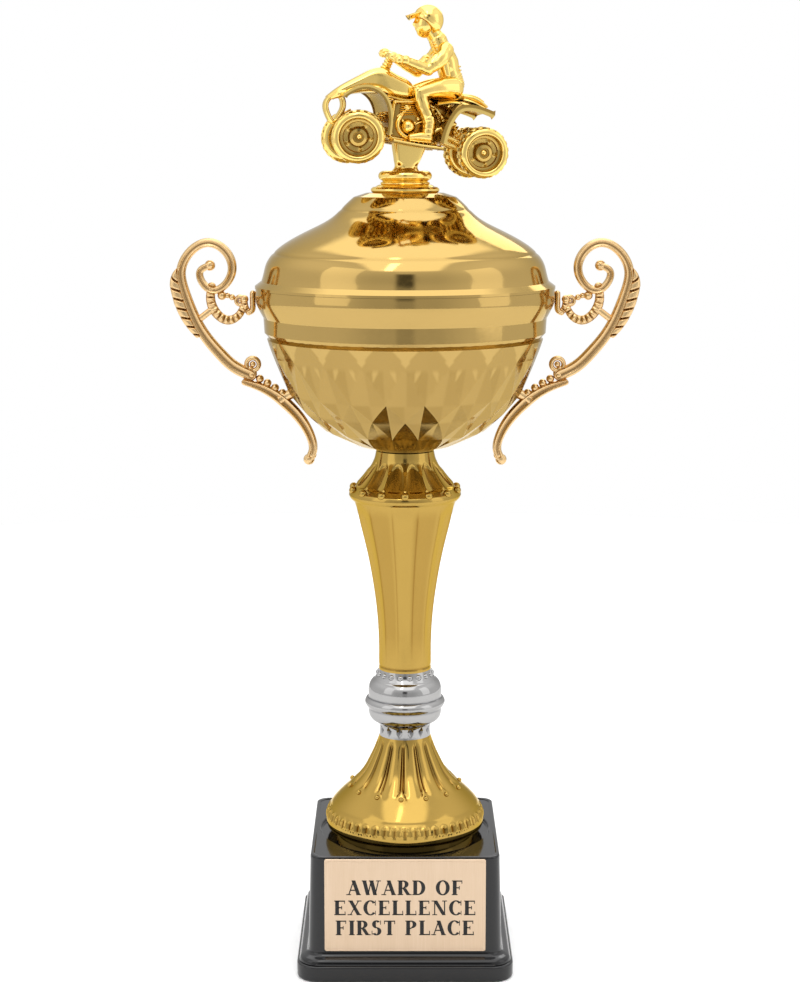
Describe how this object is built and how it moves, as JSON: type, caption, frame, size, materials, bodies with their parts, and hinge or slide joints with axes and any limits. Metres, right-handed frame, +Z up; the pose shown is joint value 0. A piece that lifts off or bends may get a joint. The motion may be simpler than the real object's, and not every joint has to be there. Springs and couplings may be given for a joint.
{
  "type": "cup trophy",
  "caption": "Two-handled gold cup with a lift-off lid and a quad bike rider on top, on a tall turned stem and a square black weighted base with a name plate.",
  "frame": {"origin": "centre of the underside of the base, on the surface that the trophy stands on and on the axis of the stem", "axes": "+Z up along the stem, -Y the front with the name plate, +X through the handle on the viewer's right"},
  "size_m": [0.1658, 0.106, 0.3413],
  "materials": {
    "black_plastic": "high gloss moulded black",
    "weight_casting": "cast mineral filler",
    "felt": "pressed felt",
    "tape": "foam adhesive film",
    "plate_brass": "brushed and lacquered",
    "zinc_steel": "zinc plated",
    "gold_plastic": "vacuum metallised gold",
    "silver_plastic": "vacuum metallised silver",
    "gold_metal": "polished and lacquered",
    "handle_metal": "satin plated casting",
    "figure_gold": "vacuum metallised bright gold",
    "insert_brass": "turned"
  },
  "bodies": {
    "trophy": {"base_shell": "black_plastic", "base_weight": "weight_casting", "base_felt": "felt", "plate_tape": "tape", "name_plate": "plate_brass", "tie_rod": "zinc_steel", "base_washer": "zinc_steel", "base_nut": "zinc_steel", "cup_washer": "zinc_steel", "cup_nut": "zinc_steel", "foot": "gold_plastic", "knop": "silver_plastic", "column": "gold_plastic", "collar": "gold_plastic", "cup": "gold_metal", "right_handle": "handle_metal", "left_handle": "handle_metal", "handle_screws": "zinc_steel"},
    "lid": {"lid": "gold_metal", "lid_skirt": "gold_metal", "lid_flange": "figure_gold", "lid_washer": "zinc_steel", "lid_bolt": "zinc_steel", "figure_insert": "insert_brass", "figure_mount": "figure_gold", "quad_chassis": "figure_gold", "quad_bodywork": "figure_gold", "quad_tail": "figure_gold", "quad_bumper": "figure_gold", "quad_handlebar": "figure_gold", "front_axle": "figure_gold", "rear_axle": "figure_gold", "front_left_wheel": "figure_gold", "front_right_wheel": "figure_gold", "rear_left_wheel": "figure_gold", "rear_right_wheel": "figure_gold", "rider": "figure_gold"}
  },
  "joints": [
    {"name": "lid_lift", "type": "slide", "parent": "trophy", "child": "lid", "axis": [0, 0, 1], "range_m": [0, 0.06]}
  ]
}
